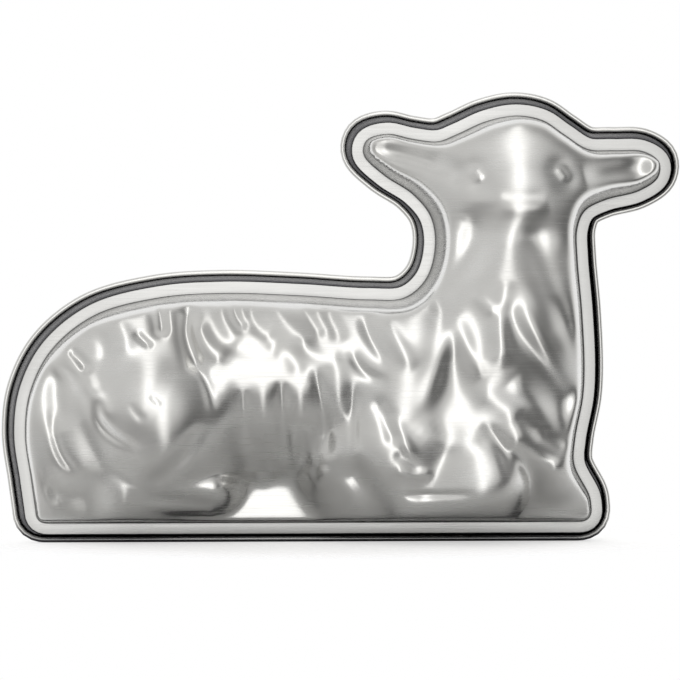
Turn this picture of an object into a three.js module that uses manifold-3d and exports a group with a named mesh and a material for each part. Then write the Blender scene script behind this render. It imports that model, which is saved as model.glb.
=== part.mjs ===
// Lamb cake mould: two pressed aluminium halves that nest together at the rim.
// Millimetres, +Z up. The lamb looks out of the front half, which faces -Y.

import * as THREE from 'three';
import { mergeVertices } from 'three/addons/utils/BufferGeometryUtils.js';
import Module from 'manifold-3d';

// Driving sizes of the whole mould
const CAVITY_LENGTH = 253;
const FRONT_DEPTH = 48;
const BACK_DEPTH = 45;
const SHEET = 1;

// Rim of the front half: a flat flange
const FLANGE_WIDTH = 4.8;

// Rim of the back half: a flange, an upturned lip and a rolled edge
const RIM_CLEARANCE = 1.5;
const SEAT_GAP = 0.3;
const LIP_HEIGHT = 4.6;
const BEAD_RADIUS = 1;
const BEAD_SIDES = 8;

// The front half has slipped towards the lip at its lower right, as the loose half settles
const SEAT_SLIP = RIM_CLEARANCE - SEAT_GAP;
const SLIP_ANGLE = -Math.PI / 4;

// Walls and the rounding between wall and relief
const WALL_DRAFT_DEGREES = 5;
const FOOT_FILLET = 0.8;
const CORNER_LEG = 6 * FOOT_FILLET;
const CROWN_SHARPNESS = 5;
const FORM_ROUND = 1.8;

// Steam vents in the back half
const VENT_DIAMETER = 5;
const VENT_SIDES = 12;
const VENT_PLACE_SHARES = [
  [0.78, 0.57],
  [0.44, 0.2],
  [0.2, 0.2],
];

// Spacing of the net of points that each pressed sheet is drawn with
const FOOT_STEP = 6;
const FOOT_TURN = Math.PI / 14;
const FRONT_NET_STEP = 5.5;
const BACK_NET_STEP = 8;
const NET_APART_SHARE = 0.62;
const ROW_SLACK_SHARE = 0.97;
const WALL_ROWS = 4;
const WALL_RING_SHARES = [0.7, 1.6, 3];
const STROKE_STEPS = 12;

// Outline of the cavity: the two corners of its straight base, and between them the flank from
// the right end over ears, head and back to the left end: [along, up], as shares of CAVITY_LENGTH
const RIGHT_CORNER_SHARES = [0.889, 0];
const LEFT_CORNER_SHARES = [0.016, 0];
const FLANK_SHARES = [
  [0.886, 0.04], [0.862, 0.09], [0.8635, 0.13], [0.876, 0.195],
  [0.8785, 0.245], [0.875, 0.33], [0.868, 0.415], [0.868, 0.46], [0.88, 0.488],
  [0.912, 0.505], [0.965, 0.519], [0.995, 0.54], [0.997, 0.564], [0.972, 0.581],
  [0.925, 0.583], [0.885, 0.585], [0.848, 0.608], [0.815, 0.63], [0.773, 0.638],
  [0.725, 0.629], [0.68, 0.609], [0.65, 0.598], [0.61, 0.602], [0.57, 0.61],
  [0.538, 0.6], [0.533, 0.578], [0.565, 0.545], [0.61, 0.515], [0.638, 0.48],
  [0.645, 0.435], [0.631, 0.383], [0.597, 0.353], [0.54, 0.35], [0.43, 0.357],
  [0.31, 0.361], [0.21, 0.354], [0.11, 0.327], [0.042, 0.273], [0.008, 0.207],
  [0, 0.14], [0.009, 0.07],
];

// Rounded masses of a relief. Each runs from one place to another and falls away to both sides,
// by its fall at one reach, and steeper beyond it with a higher power:
// [along, up, along, up, reach, reach, crest, crest, fall, power]. Places and reaches are shares
// of CAVITY_LENGTH, crests and falls shares of the depth of the half.
const FRONT_MASS_SHARES = [
  // Ground, with a slope at each end
  [0.02, 0.03, 0.88, 0.03, 0.5, 0.5, 0.14, 0.14, 0.1, 2],
  [0.09, 0, 0.09, 0.1, 0.08, 0.08, 0.26, 0.54, 0.1, 2],
  [0.82, 0, 0.81, 0.1, 0.07, 0.07, 0.26, 0.54, 0.12, 2],
  // Trunk and rump
  [0.2, 0.255, 0.62, 0.255, 0.13, 0.13, 0.84, 0.84, 0.34, 2],
  [0.1, 0.19, 0.17, 0.26, 0.12, 0.13, 0.76, 0.84, 0.2, 2],
  [0.09, 0.17, 0.1, 0.12, 0.05, 0.05, 0.68, 0.6, 0.22, 2],
  // Thigh, shank, hoof and hind foot
  [0.205, 0.195, 0.225, 0.185, 0.078, 0.078, 0.98, 0.98, 0.16, 2],
  [0.235, 0.15, 0.16, 0.07, 0.07, 0.07, 0.86, 0.6, 0.26, 2],
  [0.2, 0.07, 0.3, 0.062, 0.036, 0.042, 0.54, 0.58, 0.34, 2],
  [0.15, 0.04, 0.29, 0.034, 0.028, 0.022, 0.46, 0.4, 0.3, 2.5],
  // Shoulder and elbow
  [0.61, 0.27, 0.585, 0.14, 0.085, 0.085, 0.92, 0.86, 0.16, 2],
  // Folded foreleg
  [0.61, 0.06, 0.712, 0.085, 0.088, 0.094, 0.7, 0.84, 0.6, 3],
  // Chest and neck
  [0.775, 0.5, 0.745, 0.3, 0.1, 0.09, 0.74, 0.94, 0.13, 2],
  [0.745, 0.3, 0.7, 0.19, 0.09, 0.09, 0.94, 0.86, 0.14, 2],
  [0.76, 0.32, 0.865, 0.2, 0.06, 0.06, 0.94, 0.68, 0.06, 2],
  [0.76, 0.16, 0.825, 0.11, 0.06, 0.05, 0.84, 0.7, 0.16, 2],
  // Head: forehead and muzzle
  [0.772, 0.56, 0.773, 0.525, 0.09, 0.09, 0.82, 0.83, 0.1, 2],
  [0.773, 0.525, 0.773, 0.49, 0.06, 0.06, 0.83, 0.8, 0.12, 2],
  // Ears
  [0.56, 0.578, 0.69, 0.55, 0.05, 0.06, 0.46, 0.66, 0.08, 2],
  [0.58, 0.556, 0.69, 0.51, 0.05, 0.07, 0.42, 0.62, 0.08, 2],
  [0.86, 0.545, 0.975, 0.552, 0.07, 0.05, 0.6, 0.48, 0.08, 2],
];

// Ridges and creases laid over the masses, each a curve through three places:
// [along, up, along, up, along, up, width, rise, taper]. Places and widths are shares of
// CAVITY_LENGTH, rises shares of the depth. A taper of 1 fades the stroke towards its ends.
const FRONT_STROKE_SHARES = [
  // Rump
  [0.08, 0.26, 0.108, 0.222, 0.128, 0.18, 0.022, 0.05, 0],
  [0.075, 0.25, 0.066, 0.2, 0.08, 0.15, 0.022, -0.06, 1],
  [0.09, 0.268, 0.1, 0.258, 0.108, 0.248, 0.008, -0.03, 0],
  [0.131, 0.205, 0.137, 0.155, 0.195, 0.122, 0.008, -0.035, 1],
  [0.112, 0.212, 0.115, 0.207, 0.118, 0.202, 0.022, 0.035, 0],
  [0.045, 0.19, 0.055, 0.115, 0.09, 0.072, 0.013, 0.008, 1],
  [0.056, 0.19, 0.066, 0.12, 0.095, 0.085, 0.008, -0.02, 1],
  [0.219, 0.332, 0.222, 0.318, 0.224, 0.304, 0.01, -0.05, 0],
  [0.183, 0.302, 0.196, 0.288, 0.212, 0.276, 0.005, -0.02, 1],
  [0.15, 0.32, 0.165, 0.3, 0.17, 0.28, 0.014, 0.02, 0],
  [0.12, 0.3, 0.135, 0.285, 0.14, 0.265, 0.012, -0.02, 0],
  // Thigh and shank
  [0.262, 0.265, 0.29, 0.225, 0.302, 0.17, 0.008, -0.02, 1],
  [0.292, 0.165, 0.25, 0.105, 0.195, 0.06, 0.013, -0.035, 1],
  [0.178, 0.195, 0.187, 0.178, 0.202, 0.165, 0.006, -0.008, 1],
  [0.213, 0.2, 0.217, 0.196, 0.221, 0.192, 0.004, -0.006, 0],
  [0.035, 0.05, 0.09, 0.052, 0.15, 0.02, 0.026, -0.06, 1],
  // Upper back
  [0.262, 0.325, 0.264, 0.29, 0.275, 0.255, 0.014, -0.06, 0],
  [0.28, 0.3, 0.293, 0.28, 0.31, 0.265, 0.014, 0.03, 0],
  [0.333, 0.34, 0.336, 0.325, 0.345, 0.31, 0.008, -0.02, 0],
  [0.315, 0.335, 0.32, 0.315, 0.335, 0.29, 0.012, 0.015, 0],
  [0.36, 0.34, 0.365, 0.315, 0.385, 0.295, 0.012, -0.018, 0],
  [0.395, 0.345, 0.41, 0.315, 0.44, 0.285, 0.014, 0.018, 0],
  [0.34, 0.275, 0.365, 0.268, 0.39, 0.27, 0.014, -0.02, 0],
  [0.43, 0.345, 0.445, 0.325, 0.46, 0.3, 0.011, -0.018, 0],
  [0.47, 0.34, 0.485, 0.31, 0.5, 0.28, 0.012, -0.018, 1],
  [0.44, 0.28, 0.46, 0.262, 0.485, 0.258, 0.012, 0.015, 0],
  [0.4, 0.28, 0.42, 0.262, 0.43, 0.245, 0.012, -0.012, 0],
  // Belly
  [0.32, 0.235, 0.32, 0.19, 0.322, 0.13, 0.016, 0.018, 1],
  [0.378, 0.23, 0.378, 0.18, 0.38, 0.12, 0.018, 0.02, 1],
  [0.435, 0.225, 0.435, 0.18, 0.437, 0.11, 0.016, 0.018, 1],
  [0.49, 0.26, 0.492, 0.22, 0.495, 0.15, 0.016, 0.02, 1],
  [0.347, 0.215, 0.348, 0.175, 0.35, 0.12, 0.008, -0.018, 1],
  [0.405, 0.23, 0.407, 0.17, 0.41, 0.09, 0.01, -0.03, 1],
  [0.455, 0.25, 0.468, 0.18, 0.48, 0.1, 0.009, -0.03, 1],
  [0.42, 0.16, 0.424, 0.12, 0.425, 0.085, 0.006, 0.02, 1],
  [0.445, 0.16, 0.45, 0.12, 0.452, 0.085, 0.006, 0.02, 1],
  [0.512, 0.23, 0.515, 0.15, 0.512, 0.08, 0.01, -0.025, 1],
  [0.36, 0.082, 0.373, 0.07, 0.386, 0.08, 0.01, 0.02, 0],
  [0.445, 0.08, 0.457, 0.066, 0.469, 0.08, 0.01, 0.02, 0],
  // Shoulder
  [0.53, 0.33, 0.546, 0.285, 0.575, 0.245, 0.011, -0.035, 1],
  [0.556, 0.33, 0.578, 0.285, 0.61, 0.24, 0.013, 0.025, 1],
  [0.51, 0.275, 0.533, 0.237, 0.57, 0.225, 0.008, -0.025, 1],
  [0.555, 0.185, 0.567, 0.162, 0.575, 0.14, 0.012, -0.03, 0],
  [0.572, 0.175, 0.588, 0.14, 0.61, 0.105, 0.009, 0.02, 1],
  [0.587, 0.11, 0.597, 0.101, 0.607, 0.092, 0.01, -0.015, 0],
  [0.585, 0.086, 0.605, 0.082, 0.625, 0.082, 0.008, 0.015, 0],
  [0.52, 0.08, 0.545, 0.045, 0.565, 0.01, 0.02, -0.1, 0],
  // Slit of the folded foreleg, and the knee
  [0.585, 0.05, 0.645, 0.05, 0.7, 0.052, 0.005, -0.03, 1],
  [0.705, 0.16, 0.738, 0.127, 0.75, 0.07, 0.01, -0.02, 1],
  // Chest
  [0.655, 0.245, 0.672, 0.215, 0.69, 0.19, 0.034, -0.03, 0],
  [0.612, 0.17, 0.66, 0.128, 0.715, 0.148, 0.016, 0.025, 1],
  [0.664, 0.335, 0.648, 0.26, 0.618, 0.175, 0.013, 0.022, 1],
  [0.664, 0.335, 0.688, 0.268, 0.712, 0.225, 0.013, 0.022, 1],
  [0.703, 0.35, 0.712, 0.341, 0.721, 0.332, 0.01, 0.022, 0],
  [0.69, 0.38, 0.705, 0.315, 0.722, 0.255, 0.024, -0.04, 1],
  [0.752, 0.38, 0.738, 0.31, 0.745, 0.24, 0.014, 0.03, 1],
  [0.75, 0.325, 0.784, 0.265, 0.84, 0.205, 0.028, -0.06, 0],
  [0.75, 0.36, 0.806, 0.27, 0.868, 0.175, 0.015, 0.03, 1],
  [0.752, 0.225, 0.79, 0.19, 0.84, 0.15, 0.016, 0.03, 1],
  [0.718, 0.2, 0.738, 0.19, 0.76, 0.175, 0.018, 0.03, 0],
  [0.77, 0.168, 0.782, 0.16, 0.794, 0.15, 0.013, -0.025, 0],
  [0.805, 0.137, 0.817, 0.13, 0.829, 0.122, 0.012, -0.022, 0],
  [0.768, 0.132, 0.795, 0.112, 0.82, 0.09, 0.02, 0.03, 0],
  // Neck
  [0.706, 0.5, 0.69, 0.41, 0.622, 0.345, 0.027, -0.08, 1],
  [0.792, 0.44, 0.808, 0.38, 0.836, 0.31, 0.022, -0.035, 0],
  [0.822, 0.36, 0.852, 0.27, 0.872, 0.19, 0.014, -0.025, 1],
  // Head
  [0.66, 0.57, 0.772, 0.622, 0.88, 0.57, 0.014, -0.012, 1],
  [0.698, 0.547, 0.703, 0.537, 0.708, 0.527, 0.017, -0.025, 0],
  [0.7, 0.541, 0.703, 0.537, 0.706, 0.533, 0.008, 0.028, 0],
  [0.829, 0.548, 0.834, 0.538, 0.839, 0.528, 0.017, -0.02, 0],
  [0.831, 0.542, 0.834, 0.538, 0.837, 0.534, 0.008, 0.022, 0],
  [0.735, 0.502, 0.772, 0.503, 0.81, 0.502, 0.01, -0.01, 1],
  [0.73, 0.489, 0.772, 0.484, 0.814, 0.489, 0.012, 0.018, 1],
  // Ears
  [0.525, 0.578, 0.59, 0.573, 0.668, 0.545, 0.012, -0.06, 1],
  [0.645, 0.56, 0.66, 0.55, 0.675, 0.538, 0.016, -0.03, 0],
  [0.865, 0.533, 0.92, 0.545, 0.98, 0.552, 0.02, -0.06, 1],
];

const BACK_MASS_SHARES = [
  // Ground, with a slope at each end
  [0.02, 0.03, 0.88, 0.03, 0.5, 0.5, 0.14, 0.14, 0.1, 2],
  [0.09, 0, 0.09, 0.1, 0.08, 0.08, 0.26, 0.54, 0.1, 2],
  [0.82, 0, 0.81, 0.1, 0.07, 0.07, 0.26, 0.54, 0.12, 2],
  // Trunk and rump
  [0.2, 0.255, 0.62, 0.255, 0.13, 0.13, 0.86, 0.86, 0.34, 2],
  [0.1, 0.19, 0.17, 0.26, 0.12, 0.13, 0.76, 0.84, 0.2, 2],
  [0.085, 0.17, 0.095, 0.12, 0.055, 0.055, 0.68, 0.62, 0.2, 3],
  // Hind leg
  [0.2, 0.2, 0.22, 0.19, 0.075, 0.075, 1, 1, 0.16, 2],
  [0.235, 0.15, 0.16, 0.07, 0.07, 0.07, 0.86, 0.6, 0.26, 2],
  [0.15, 0.045, 0.3, 0.045, 0.03, 0.03, 0.5, 0.48, 0.34, 4],
  // Foreleg
  [0.62, 0.26, 0.6, 0.14, 0.09, 0.085, 0.94, 0.86, 0.18, 2],
  [0.62, 0.07, 0.695, 0.085, 0.085, 0.09, 0.76, 0.84, 0.6, 4],
  // Chest and neck
  [0.775, 0.53, 0.745, 0.3, 0.1, 0.09, 0.74, 0.92, 0.1, 2],
  [0.745, 0.3, 0.7, 0.19, 0.09, 0.09, 0.92, 0.84, 0.14, 2],
  [0.76, 0.16, 0.81, 0.1, 0.05, 0.05, 0.82, 0.62, 0.2, 2],
  // Back of the head
  [0.772, 0.55, 0.773, 0.535, 0.1, 0.1, 0.88, 0.88, 0.22, 3],
  // Backs of the ears
  [0.57, 0.57, 0.69, 0.53, 0.06, 0.08, 0.4, 0.66, 0.08, 2],
  [0.86, 0.545, 0.975, 0.552, 0.07, 0.05, 0.66, 0.42, 0.08, 2],
];

const BACK_STROKE_SHARES = [
  // Thigh and rump
  [0.262, 0.265, 0.29, 0.225, 0.302, 0.17, 0.01, -0.03, 1],
  [0.12, 0.3, 0.135, 0.285, 0.14, 0.25, 0.014, -0.02, 1],
  // Back and belly
  [0.3, 0.32, 0.32, 0.29, 0.35, 0.265, 0.014, -0.018, 1],
  [0.4, 0.33, 0.42, 0.3, 0.45, 0.27, 0.014, -0.018, 1],
  [0.49, 0.32, 0.51, 0.29, 0.54, 0.26, 0.014, -0.018, 1],
  [0.36, 0.235, 0.362, 0.19, 0.365, 0.13, 0.016, -0.02, 1],
  [0.44, 0.23, 0.442, 0.18, 0.445, 0.12, 0.016, -0.02, 1],
  [0.51, 0.23, 0.515, 0.17, 0.512, 0.1, 0.016, -0.02, 1],
  // Slit of the folded foreleg
  [0.58, 0.054, 0.645, 0.048, 0.715, 0.051, 0.007, -0.04, 1],
  // Neck
  [0.715, 0.53, 0.7, 0.42, 0.63, 0.345, 0.026, -0.05, 1],
  [0.815, 0.47, 0.832, 0.38, 0.87, 0.24, 0.024, -0.03, 1],
];

function placeOf([along, up]) {
  return new THREE.Vector3(along * CAVITY_LENGTH, 0, up * CAVITY_LENGTH);
}

// The cavity's outline as one closed path, run anticlockwise as seen from the front
function cavityPath() {
  const [right, left] = [RIGHT_CORNER_SHARES, LEFT_CORNER_SHARES].map(placeOf);
  const along = new THREE.Vector3(CORNER_LEG, 0, 0);
  const up = new THREE.Vector3(0, 0, CORNER_LEG);
  const [rightBase, rightFlank] = [right.clone().sub(along), right.clone().add(up)];
  const [leftBase, leftFlank] = [left.clone().add(along), left.clone().add(up)];
  const path = new THREE.CurvePath();
  path.add(new THREE.LineCurve3(leftBase, rightBase));
  path.add(new THREE.QuadraticBezierCurve3(rightBase, right, rightFlank));
  path.add(new THREE.CatmullRomCurve3([rightFlank, ...FLANK_SHARES.map(placeOf), leftFlank]));
  path.add(new THREE.QuadraticBezierCurve3(leftFlank, left, leftBase));
  return path;
}

// Points close together along the outline, each with the direction that leads out of the cavity
function finePoints() {
  const path = cavityPath();
  const count = Math.round(path.getLength() / (FOOT_STEP * 0.08));
  const places = path.getSpacedPoints(count).slice(0, -1);
  return places.map((place, index) => {
    const before = places[(index + places.length - 1) % places.length];
    const after = places[(index + 1) % places.length];
    const run = after.clone().sub(before).normalize();
    return { x: place.x, z: place.z, outX: run.z, outZ: -run.x };
  });
}

// Fewer points: a new one after each full step, or sooner where the outline bends
function footPoints(fine) {
  const kept = [fine[0]];
  let length = 0;
  let turn = 0;
  for (let index = 1; index < fine.length; index += 1) {
    const [from, to] = [fine[index - 1], fine[index]];
    length += Math.hypot(to.x - from.x, to.z - from.z);
    turn += Math.abs(Math.asin(from.outX * to.outZ - from.outZ * to.outX));
    if (length >= FOOT_STEP || turn >= FOOT_TURN) {
      kept.push(to);
      length = 0;
      turn = 0;
    }
  }
  return kept;
}

function nearestOnSegment(x, z, x1, z1, x2, z2) {
  const [runX, runZ] = [x2 - x1, z2 - z1];
  const square = runX * runX + runZ * runZ;
  const along = square > 0 ? ((x - x1) * runX + (z - z1) * runZ) / square : 0;
  const share = Math.min(Math.max(along, 0), 1);
  return { share, distance: Math.hypot(x - x1 - share * runX, z - z1 - share * runZ) };
}

function distanceToLoop(loop, x, z) {
  let nearest = Infinity;
  loop.forEach((from, index) => {
    const to = loop[(index + 1) % loop.length];
    nearest = Math.min(nearest, nearestOnSegment(x, z, from.x, from.z, to.x, to.z).distance);
  });
  return nearest;
}

function isInside(loop, x, z) {
  let inside = false;
  loop.forEach((from, index) => {
    const to = loop[(index + 1) % loop.length];
    const crosses = from.z > z !== to.z > z;
    if (crosses && x < from.x + ((z - from.z) / (to.z - from.z)) * (to.x - from.x)) inside = !inside;
  });
  return inside;
}

// A pressed stroke with the curve through its three places drawn out as a line
function strokeOf([x1, z1, xMiddle, zMiddle, x2, z2, width, rise, taper]) {
  const ends = [new THREE.Vector2(x1, z1), new THREE.Vector2(x2, z2)];
  const halfway = ends[0].clone().lerp(ends[1], 0.5);
  const control = new THREE.Vector2(xMiddle, zMiddle).multiplyScalar(2).sub(halfway);
  const line = new THREE.QuadraticBezierCurve(ends[0], control, ends[1]).getPoints(STROKE_STEPS);
  return { line, width, rise, taper };
}

// What a stroke adds at a place, as a share of the depth. A tapered one fades towards its ends.
function strokeSwell({ line, width, rise, taper }, along, up) {
  let nearest = Infinity;
  let way = 0;
  for (let step = 0; step < STROKE_STEPS; step += 1) {
    const [from, to] = [line[step], line[step + 1]];
    const { share, distance } = nearestOnSegment(along, up, from.x, from.y, to.x, to.y);
    if (distance < nearest) {
      nearest = distance;
      way = (step + share) / STROKE_STEPS;
    }
  }
  const fade = (1 - (2 * way - 1) ** 4) ** 2;
  return rise * (1 - taper + taper * fade) * Math.exp(-((nearest / width) ** 2));
}

// Height of the pressed relief above the flange: the steep wall where the outline is near,
// and the masses with their strokes further in
function reliefHeight(half, x, z) {
  const [along, up] = [x / CAVITY_LENGTH, z / CAVITY_LENGTH];
  let sum = 0;
  for (const [x1, z1, x2, z2, reach1, reach2, crest1, crest2, fall, power] of half.massShares) {
    const { share, distance } = nearestOnSegment(along, up, x1, z1, x2, z2);
    const eased = THREE.MathUtils.smoothstep(share, 0, 1);
    const spread = distance / THREE.MathUtils.lerp(reach1, reach2, eased);
    const crest = THREE.MathUtils.lerp(crest1, crest2, eased) - fall * spread ** power;
    sum += Math.exp((half.depth * crest) / FORM_ROUND);
  }
  let masses = FORM_ROUND * Math.log(sum);
  for (const stroke of half.strokes) masses += half.depth * strokeSwell(stroke, along, up);
  const slope = 1 / Math.tan(THREE.MathUtils.degToRad(WALL_DRAFT_DEGREES));
  const wall = slope * (Math.hypot(distanceToLoop(half.fine, x, z), FOOT_FILLET) - FOOT_FILLET);
  const blend = (wall / masses) ** CROWN_SHARPNESS + 1;
  return wall / blend ** (1 / CROWN_SHARPNESS);
}

// Rings of points from the outline inwards, where the wall rises from the flange
function wallRings(half) {
  const ring = (inset) => half.foot.map(({ x, z, outX, outZ }) => [x - outX * inset, z - outZ * inset]);
  return [ring(0), ...WALL_RING_SHARES.map((share) => ring(share * FOOT_FILLET))];
}

// Places inside the last ring: rows that follow the outline up the wall and over its crown,
// then a lattice, each row of it moved half a step, that fills what the rows leave
function fieldPlaces(half, lastRing) {
  const loop = lastRing.map(([x, z]) => ({ x, z }));
  const apart = NET_APART_SHARE * half.netStep;
  const kept = [];
  const keep = (x, z, inset) => {
    if (!isInside(loop, x, z) || distanceToLoop(loop, x, z) < inset * ROW_SLACK_SHARE) return;
    if (kept.every(([keptX, keptZ]) => Math.hypot(keptX - x, keptZ - z) > apart)) kept.push([x, z]);
  };
  for (let row = 1; row <= WALL_ROWS; row += 1) {
    const inset = row * apart;
    lastRing.forEach(([x, z], index) => {
      keep(x - half.foot[index].outX * inset, z - half.foot[index].outZ * inset, inset);
    });
  }
  const box = new THREE.Box2().setFromPoints(lastRing.map(([x, z]) => new THREE.Vector2(x, z)));
  const rowStep = half.netStep * Math.sin(Math.PI / 3);
  for (let row = 1; row * rowStep < box.max.y; row += 1) {
    const start = (row % 2) * half.netStep * 0.5;
    for (let x = start; x < box.max.x; x += half.netStep) keep(x, row * rowStep, apart);
  }
  return kept;
}

function circumcircle(points, corners) {
  const [[ax, az], [bx, bz], [cx, cz]] = corners.map((corner) => points[corner]);
  const twice = 2 * (ax * (bz - cz) + bx * (cz - az) + cx * (az - bz));
  const [a, b, c] = [ax * ax + az * az, bx * bx + bz * bz, cx * cx + cz * cz];
  const x = (a * (bz - cz) + b * (cz - az) + c * (az - bz)) / twice;
  const z = (a * (cx - bx) + b * (ax - cx) + c * (bx - ax)) / twice;
  return { corners, x, z, radius: Math.hypot(ax - x, az - z) };
}

// Delaunay triangles of the points, anticlockwise, by adding one point after another
function delaunay(places) {
  const far = 20 * CAVITY_LENGTH;
  const points = [...places, [-far, -far], [far, -far], [0, far]];
  let triangles = [circumcircle(points, [places.length, places.length + 1, places.length + 2])];
  for (let added = 0; added < places.length; added += 1) {
    const [x, z] = points[added];
    const edges = new Map();
    triangles = triangles.filter((triangle) => {
      if (Math.hypot(x - triangle.x, z - triangle.z) >= triangle.radius) return true;
      triangle.corners.forEach((from, index) => {
        const to = triangle.corners[(index + 1) % 3];
        if (!edges.delete(`${to},${from}`)) edges.set(`${from},${to}`, [from, to]);
      });
      return false;
    });
    for (const [from, to] of edges.values()) triangles.push(circumcircle(points, [from, to, added]));
  }
  return triangles.map(({ corners }) => corners).filter((corners) => Math.max(...corners) < places.length);
}

// Two triangles for each step between a ring of points and the next ring outside it
function stripFaces(inside, outside, count) {
  const faces = [];
  for (let index = 0; index < count; index += 1) {
    const next = (index + 1) % count;
    faces.push([inside + index, outside + index, outside + next]);
    faces.push([inside + index, outside + next, inside + next]);
  }
  return faces;
}

// The net of places and triangles that fills the outline, its first places on the outline
function sheetNet(half) {
  const rings = wallRings(half);
  const count = half.foot.length;
  const lastRing = rings[rings.length - 1];
  const lastStart = count * (rings.length - 1);
  const loop = lastRing.map(([x, z]) => ({ x, z }));
  const places = [...rings.flat(), ...fieldPlaces(half, lastRing)];
  const fill = delaunay(places.slice(lastStart))
    .map((corners) => corners.map((corner) => corner + lastStart))
    .filter((corners) => {
      const [x, z] = [0, 1].map((axis) => corners.reduce((sum, c) => sum + places[c][axis], 0) / 3);
      return isInside(loop, x, z);
    });
  const strips = rings.slice(1).flatMap((ring, index) =>
    stripFaces((index + 1) * count, index * count, count));
  return { places, faces: [...strips, ...fill] };
}

// Where the inner face lies: a sheet's thickness behind the outer points, square to the faces
function pointsBehind(points, faces, rimCount) {
  const normals = points.map(() => new THREE.Vector3());
  const corner = new THREE.Triangle();
  const normal = new THREE.Vector3();
  for (const face of faces) {
    corner.set(...face.map((index) => new THREE.Vector3(...points[index])));
    corner.getNormal(normal).multiplyScalar(-corner.getArea());
    face.forEach((index) => normals[index].add(normal));
  }
  normals.slice(0, rimCount).forEach((rimNormal) => rimNormal.set(0, 1, 0));
  return points.map(([x, height, z], index) => {
    const { x: nx, y: ny, z: nz } = normals[index].normalize();
    return [x - nx * SHEET, height - ny * SHEET, z - nz * SHEET];
  });
}

// One pressed half as a closed sheet. The rim's section runs from the outer face of the flange
// round its edge to the inner face: [distance outside the cavity, height above the inner face].
function pressedHalf(half, rimSection) {
  const net = sheetNet(half);
  const count = half.foot.length;
  const outer = net.places.map(([x, z]) => [x, reliefHeight(half, x, z) + SHEET, z]);
  const inner = pointsBehind(outer, net.faces, count);
  const rim = rimSection.flatMap(([out, height]) =>
    half.foot.map(({ x, z, outX, outZ }) => [x + outX * out, height, z + outZ * out]));
  const innerFaces = net.faces.map(([a, b, c]) => [a + outer.length, c + outer.length, b + outer.length]);
  const rimStart = outer.length + inner.length;
  const rimStarts = rimSection.map((_, index) => rimStart + index * count);
  const rimFaces = [0, ...rimStarts].flatMap((start, index) =>
    stripFaces(start, [...rimStarts, outer.length][index], count));
  return {
    positions: [...outer, ...inner, ...rim],
    faces: [...net.faces, ...innerFaces, ...rimFaces],
  };
}

// The halves are drawn with height as a positive number. The front half turns it to -Y.
function sheetGeometry({ positions, faces }, side) {
  const geometry = new THREE.BufferGeometry();
  const turned = positions.map(([x, height, z]) => [x, side * height, z]);
  const wound = side < 0 ? faces : faces.map(([a, b, c]) => [a, c, b]);
  geometry.setAttribute('position', new THREE.Float32BufferAttribute(turned.flat(), 3));
  geometry.setIndex(wound.flat());
  return geometry;
}

// Flat flange with a plain edge
function frontRimSection() {
  return [
    [FLANGE_WIDTH, SHEET],
    [FLANGE_WIDTH, 0],
  ];
}

// Flange, lip that stands up round the front half's flange, and edge rolled outwards
function backRimSection() {
  const lipInside = FLANGE_WIDTH + RIM_CLEARANCE;
  const beadOut = lipInside + BEAD_RADIUS;
  const beadHeight = BEAD_RADIUS - LIP_HEIGHT;
  const corner = BEAD_RADIUS / Math.cos(Math.PI / BEAD_SIDES);
  const bead = [];
  for (let side = 0; side < BEAD_SIDES - 2; side += 1) {
    const angle = ((side - 1.5) * 2 * Math.PI) / BEAD_SIDES;
    bead.push([beadOut + corner * Math.cos(angle), beadHeight - corner * Math.sin(angle)]);
  }
  return [
    [lipInside + SHEET / 2, SHEET],
    [lipInside + SHEET, SHEET / 2],
    [lipInside + SHEET, beadHeight + BEAD_RADIUS],
    ...bead,
    [lipInside, 0],
  ];
}

function aluminium() {
  return new THREE.MeshStandardMaterial({ color: 0xc4c3bf, metalness: 1, roughness: 0.28 });
}

// A closed surface as a solid that can be cut
function solidOf(geometry, wasm) {
  return new wasm.Manifold(new wasm.Mesh({
    numProp: 3,
    vertProperties: new Float32Array(geometry.getAttribute('position').array),
    triVerts: new Uint32Array(geometry.getIndex().array),
  }));
}

// Cuts the round steam vents through the relief of the back half
function withVents(geometry, wasm) {
  let sheet = solidOf(geometry, wasm);
  for (const [along, up] of VENT_PLACE_SHARES) {
    const drill = new THREE.CylinderGeometry(VENT_DIAMETER / 2, VENT_DIAMETER / 2, BACK_DEPTH, VENT_SIDES);
    drill.deleteAttribute('normal');
    drill.deleteAttribute('uv');
    drill.translate(along * CAVITY_LENGTH, BACK_DEPTH, up * CAVITY_LENGTH);
    sheet = sheet.subtract(solidOf(mergeVertices(drill), wasm));
  }
  const cut = sheet.getMesh();
  const geometryCut = new THREE.BufferGeometry();
  geometryCut.setAttribute('position', new THREE.Float32BufferAttribute(cut.vertProperties, 3));
  geometryCut.setIndex([...cut.triVerts]);
  return geometryCut;
}

function namedMesh(name, geometry) {
  const mesh = new THREE.Mesh(geometry, aluminium());
  mesh.name = name;
  return mesh;
}

function frontHalf(outline) {
  const half = {
    ...outline,
    depth: FRONT_DEPTH,
    netStep: FRONT_NET_STEP,
    massShares: FRONT_MASS_SHARES,
    strokes: FRONT_STROKE_SHARES.map(strokeOf),
  };
  const mesh = namedMesh('front_half', sheetGeometry(pressedHalf(half, frontRimSection()), -1));
  mesh.position.set(SEAT_SLIP * Math.cos(SLIP_ANGLE), -SEAT_GAP, SEAT_SLIP * Math.sin(SLIP_ANGLE));
  return mesh;
}

function backHalf(outline, wasm) {
  const half = {
    ...outline,
    depth: BACK_DEPTH,
    netStep: BACK_NET_STEP,
    massShares: BACK_MASS_SHARES,
    strokes: BACK_STROKE_SHARES.map(strokeOf),
  };
  return namedMesh('back_half', withVents(sheetGeometry(pressedHalf(half, backRimSection()), 1), wasm));
}

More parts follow.
